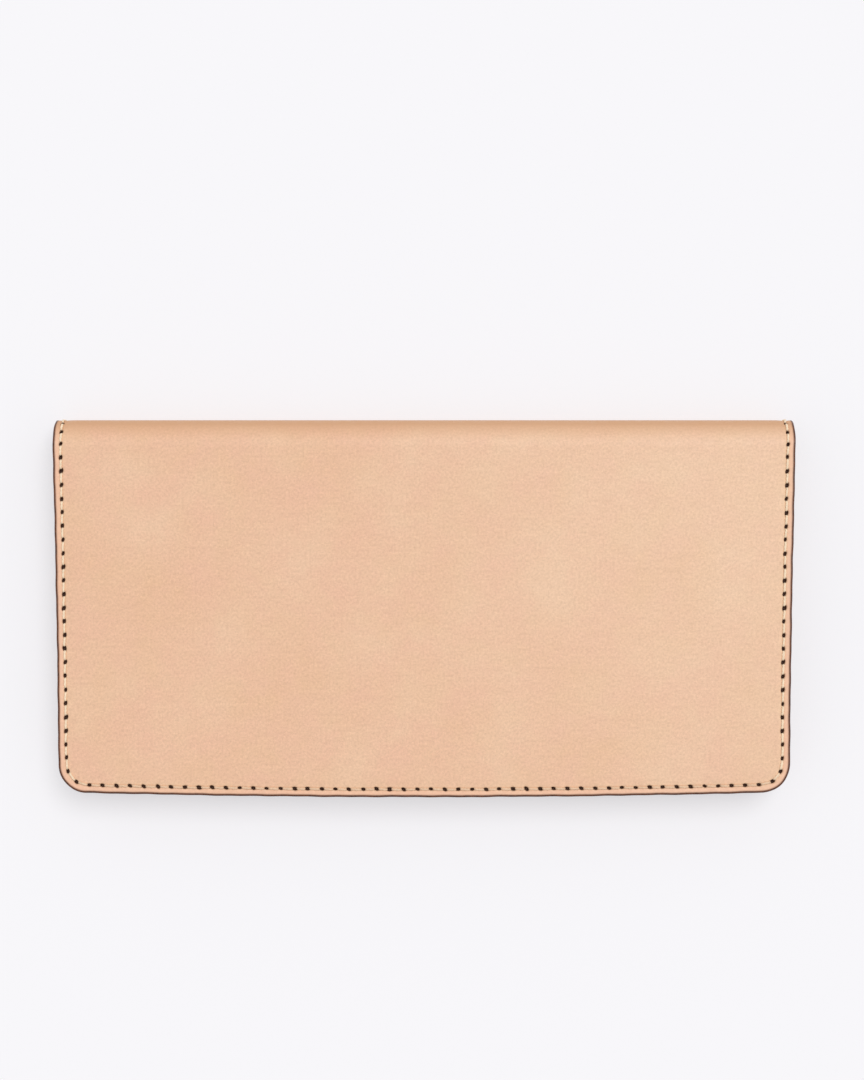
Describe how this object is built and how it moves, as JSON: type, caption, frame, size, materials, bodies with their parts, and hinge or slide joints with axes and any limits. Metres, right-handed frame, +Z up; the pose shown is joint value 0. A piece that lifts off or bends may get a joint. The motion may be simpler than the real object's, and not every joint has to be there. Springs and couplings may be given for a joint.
{
  "type": "long wallet",
  "caption": "Long bifold wallet in smooth natural leather with a stitched edge, card pockets, a banknote compartment and a zipped coin pocket.",
  "frame": {"origin": "centre of the closed wallet's footprint, on the surface that it lies on", "axes": "+X along the fold, +Y from the open edge towards the fold, +Z up from the back cover to the front cover"},
  "size_m": [0.19, 0.0966, 0.0142],
  "materials": {
    "cover_leather": "smooth natural vegetable-tanned grain, satin",
    "lining_leather": "thin natural leather, matt",
    "pocket_leather": "thin natural leather with burnished edges, satin",
    "thread": "waxed cream thread",
    "zip_tape": "woven tape",
    "zip_brass": "polished brass"
  },
  "bodies": {
    "back_half": {"back_cover": "cover_leather", "back_seam_thread": "thread", "back_lining": "lining_leather", "coin_pocket_back": "pocket_leather", "coin_pocket_front": "pocket_leather", "zip_tape_lower": "zip_tape", "zip_tape_upper": "zip_tape", "zip_teeth_lower": "zip_brass", "zip_teeth_upper": "zip_brass", "zip_top_stop_lower": "zip_brass", "zip_top_stop_upper": "zip_brass", "zip_bottom_stop": "zip_brass"},
    "zip_slider": {"zip_slider": "zip_brass"},
    "zip_pull": {"zip_pull_link": "zip_brass", "zip_pull_tab": "pocket_leather"},
    "spine": {"spine_cover": "cover_leather", "spine_lining": "lining_leather", "spine_thread_left": "thread", "spine_thread_right": "thread"},
    "front_half": {"front_cover": "cover_leather", "front_seam_thread": "thread", "front_lining": "lining_leather", "slip_pocket": "pocket_leather", "card_pocket_top_left": "pocket_leather", "card_pocket_top_right": "pocket_leather", "card_pocket_middle_left": "pocket_leather", "card_pocket_middle_right": "pocket_leather", "card_pocket_front": "pocket_leather", "centre_thread": "thread"}
  },
  "joints": [
    {"name": "back_fold", "type": "hinge", "parent": "back_half", "child": "spine", "pos_m": [0, 0.04683, 0.00152], "axis": [-1, 0, 0], "range_deg": [0, 90]},
    {"name": "front_fold", "type": "hinge", "parent": "spine", "child": "front_half", "pos_m": [0, 0.04683, 0.01268], "axis": [-1, 0, 0], "range_deg": [0, 90]},
    {"name": "zip_slide", "type": "slide", "parent": "back_half", "child": "zip_slider", "axis": [-1, 0, 0], "range_m": [0, 0.124]},
    {"name": "pull_swing", "type": "hinge", "parent": "zip_slider", "child": "zip_pull", "pos_m": [0.062, 0.018, 0.0071], "axis": [0, 0, 1], "range_deg": [-20, 20]}
  ],
  "couplings": [
    {"joint": "front_fold", "follows": "back_fold", "ratio": 1}
  ]
}
